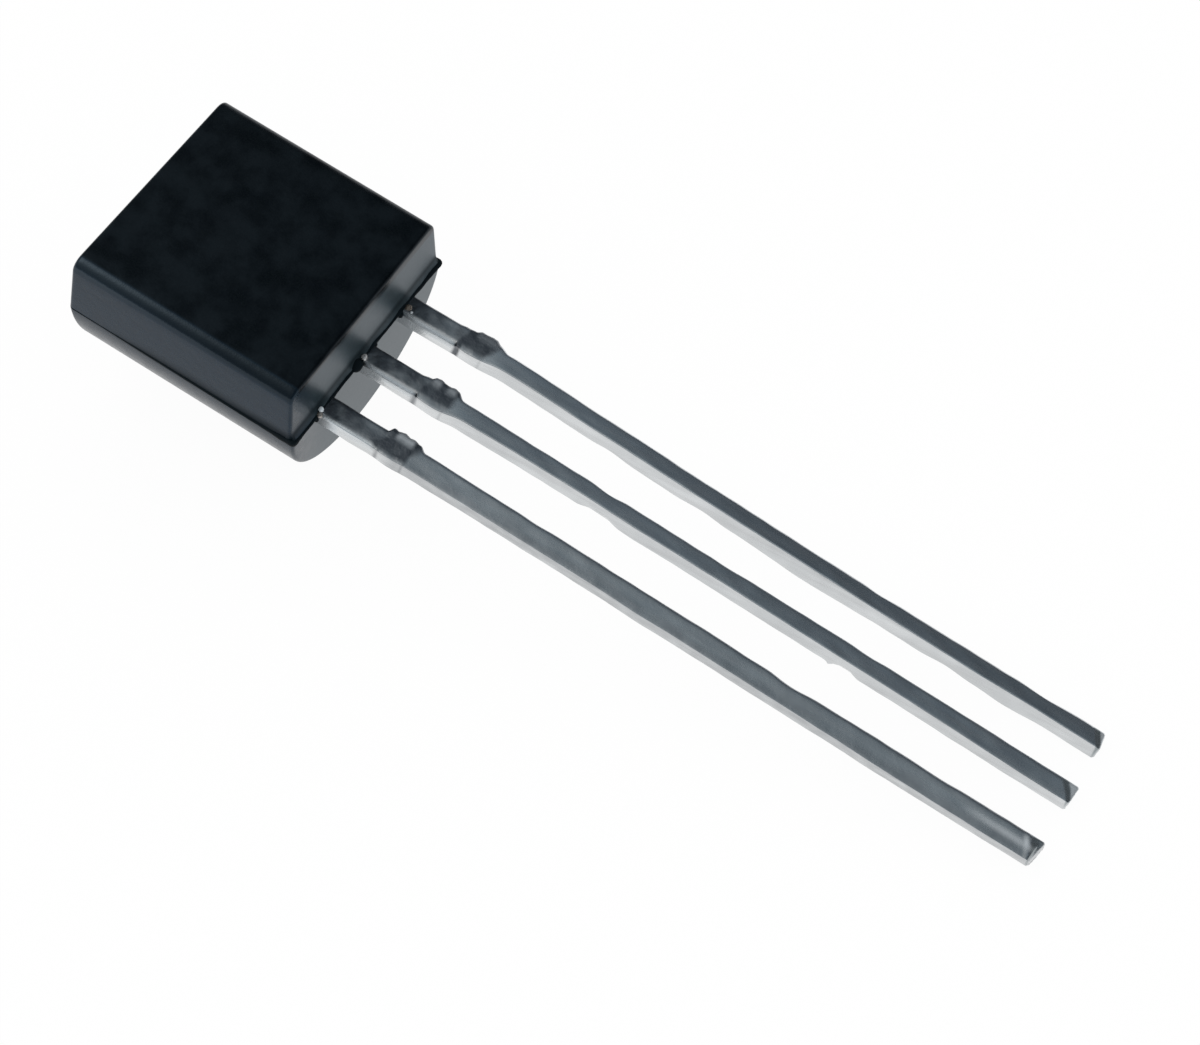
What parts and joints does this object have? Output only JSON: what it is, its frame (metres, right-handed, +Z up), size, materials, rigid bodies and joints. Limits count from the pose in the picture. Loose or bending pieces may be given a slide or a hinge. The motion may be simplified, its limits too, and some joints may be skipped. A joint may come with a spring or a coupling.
{
  "type": "to-92 transistor",
  "caption": "Leaded transistor in a small moulded black case with a flat front and a round back, and straight tinned leads side by side in a row.",
  "frame": {"origin": "on the table under the middle of the whole part, as it lies on its round back", "axes": "+X from the case towards the lead tips, along the table; +Y across the row of leads; +Z up, on the marking flat's side"},
  "size_m": [0.0186, 0.0046, 0.0042],
  "materials": {
    "moulding_compound": "satin",
    "tinned_lead": "satin",
    "silicon": "polished",
    "bond_alloy": "matte",
    "gold": "gloss"
  },
  "bodies": {
    "root": {"case": "moulding_compound", "emitter_lead": "tinned_lead", "collector_lead": "tinned_lead", "base_lead": "tinned_lead", "die": "silicon", "die_bond": "bond_alloy", "emitter_wire": "gold", "base_wire": "gold"}
  },
  "joints": []
}
